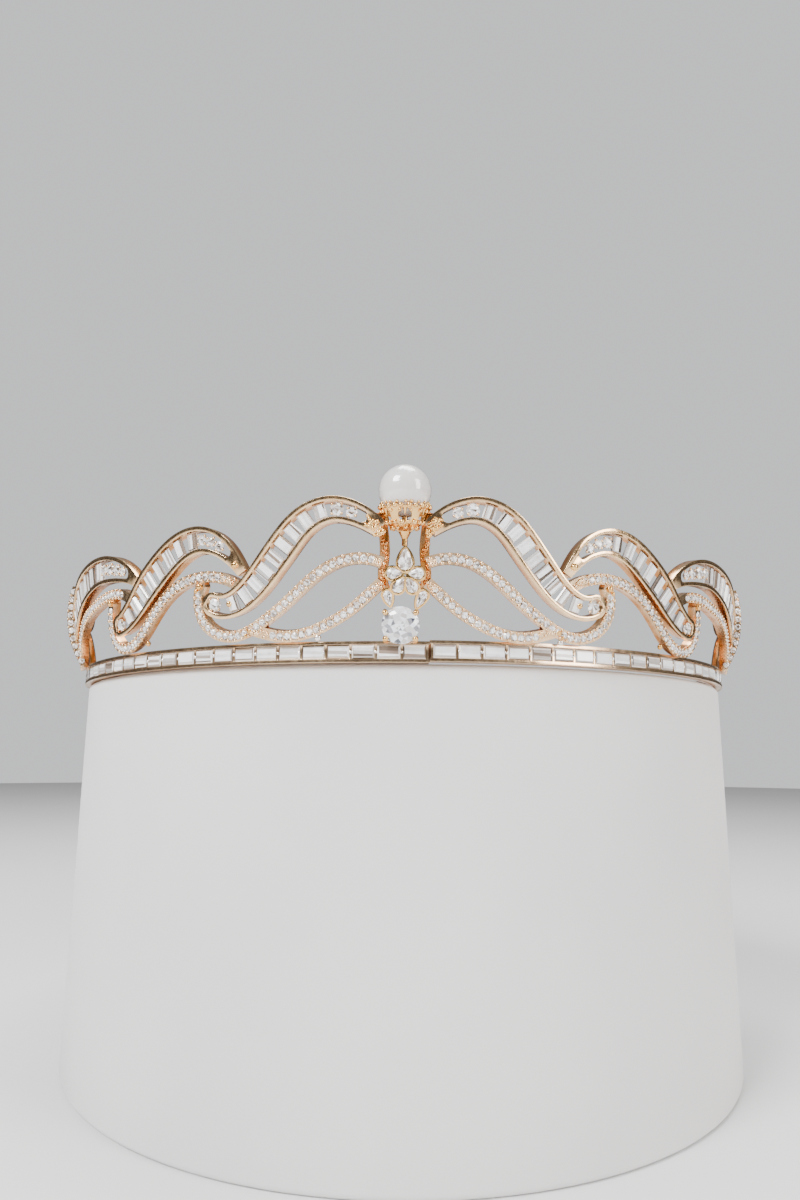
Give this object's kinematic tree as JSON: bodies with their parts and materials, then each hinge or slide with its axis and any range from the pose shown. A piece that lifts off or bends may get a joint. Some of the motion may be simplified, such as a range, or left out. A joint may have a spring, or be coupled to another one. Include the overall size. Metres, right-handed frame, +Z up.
{
  "type": "bridal tiara",
  "caption": "Open horseshoe tiara: stone-set band, pairs of wave-like baguette scrolls with pave ribbons, a petal cluster and drop stone below a pearl finial.",
  "frame": {"origin": "centre of the band's circle, in the plane of the band's underside, where the head sits", "axes": "+X towards the viewer's right along the widest direction, -Y out of the front, +Z up through the pearl end"},
  "size_m": [0.1528, 0.0939, 0.0302],
  "materials": {
    "band_gold": "polished rose-tinted gold plating",
    "scroll_gold": "polished pale gold plating on the rails",
    "pave_gold": "bright-cut gold plating between pave stones",
    "centre_gold": "warm yellow gold plating, cast and polished",
    "join_gold": "polished gold plating on the struts, stems and loops",
    "crystal": "clear faceted crystal",
    "pearl": "satin imitation pearl with a soft lustre"
  },
  "bodies": {
    "root": {"band_baguettes_left": "crystal", "band_baguettes_right": "crystal", "band_channel_left": "band_gold", "band_channel_right": "band_gold", "centre_setting": "centre_gold", "centre_stones": "crystal", "centre_strut_left": "join_gold", "centre_strut_right": "join_gold", "drop_setting": "centre_gold", "drop_stone": "crystal", "end_leaf_setting_left": "join_gold", "end_leaf_setting_right": "join_gold", "end_leaf_stone_left": "crystal", "end_leaf_stone_right": "crystal", "end_loop_left": "join_gold", "end_loop_right": "join_gold", "end_stem_left": "join_gold", "end_stem_right": "join_gold", "front_lower_pave_ribbon_left": "pave_gold", "front_lower_pave_ribbon_right": "pave_gold", "front_lower_pave_stones_left": "crystal", "front_lower_pave_stones_right": "crystal", "front_scroll_baguettes_left": "crystal", "front_scroll_baguettes_right": "crystal", "front_scroll_frame_left": "scroll_gold", "front_scroll_frame_right": "scroll_gold", "front_scroll_round_stones_left": "crystal", "front_scroll_round_stones_right": "crystal", "front_upper_pave_ribbon_left": "pave_gold", "front_upper_pave_ribbon_right": "pave_gold", "front_upper_pave_stones_left": "crystal", "front_upper_pave_stones_right": "crystal", "middle_pave_ribbon_left": "pave_gold", "middle_pave_ribbon_right": "pave_gold", "middle_pave_stones_left": "crystal", "middle_pave_stones_right": "crystal", "middle_scroll_baguettes_left": "crystal", "middle_scroll_baguettes_right": "crystal", "middle_scroll_frame_left": "scroll_gold", "middle_scroll_frame_right": "scroll_gold", "middle_scroll_round_stones_left": "crystal", "middle_scroll_round_stones_right": "crystal", "pearl": "pearl", "pearl_cup": "centre_gold", "pearl_post": "centre_gold", "side_leaf_left": "pave_gold", "side_leaf_right": "pave_gold", "side_leaf_stones_left": "crystal", "side_leaf_stones_right": "crystal", "side_pave_ribbon_left": "pave_gold", "side_pave_ribbon_right": "pave_gold", "side_pave_stones_left": "crystal", "side_pave_stones_right": "crystal", "side_scroll_baguettes_left": "crystal", "side_scroll_baguettes_right": "crystal", "side_scroll_frame_left": "scroll_gold", "side_scroll_frame_right": "scroll_gold", "side_scroll_round_stones_left": "crystal", "side_scroll_round_stones_right": "crystal"}
  },
  "joints": []
}
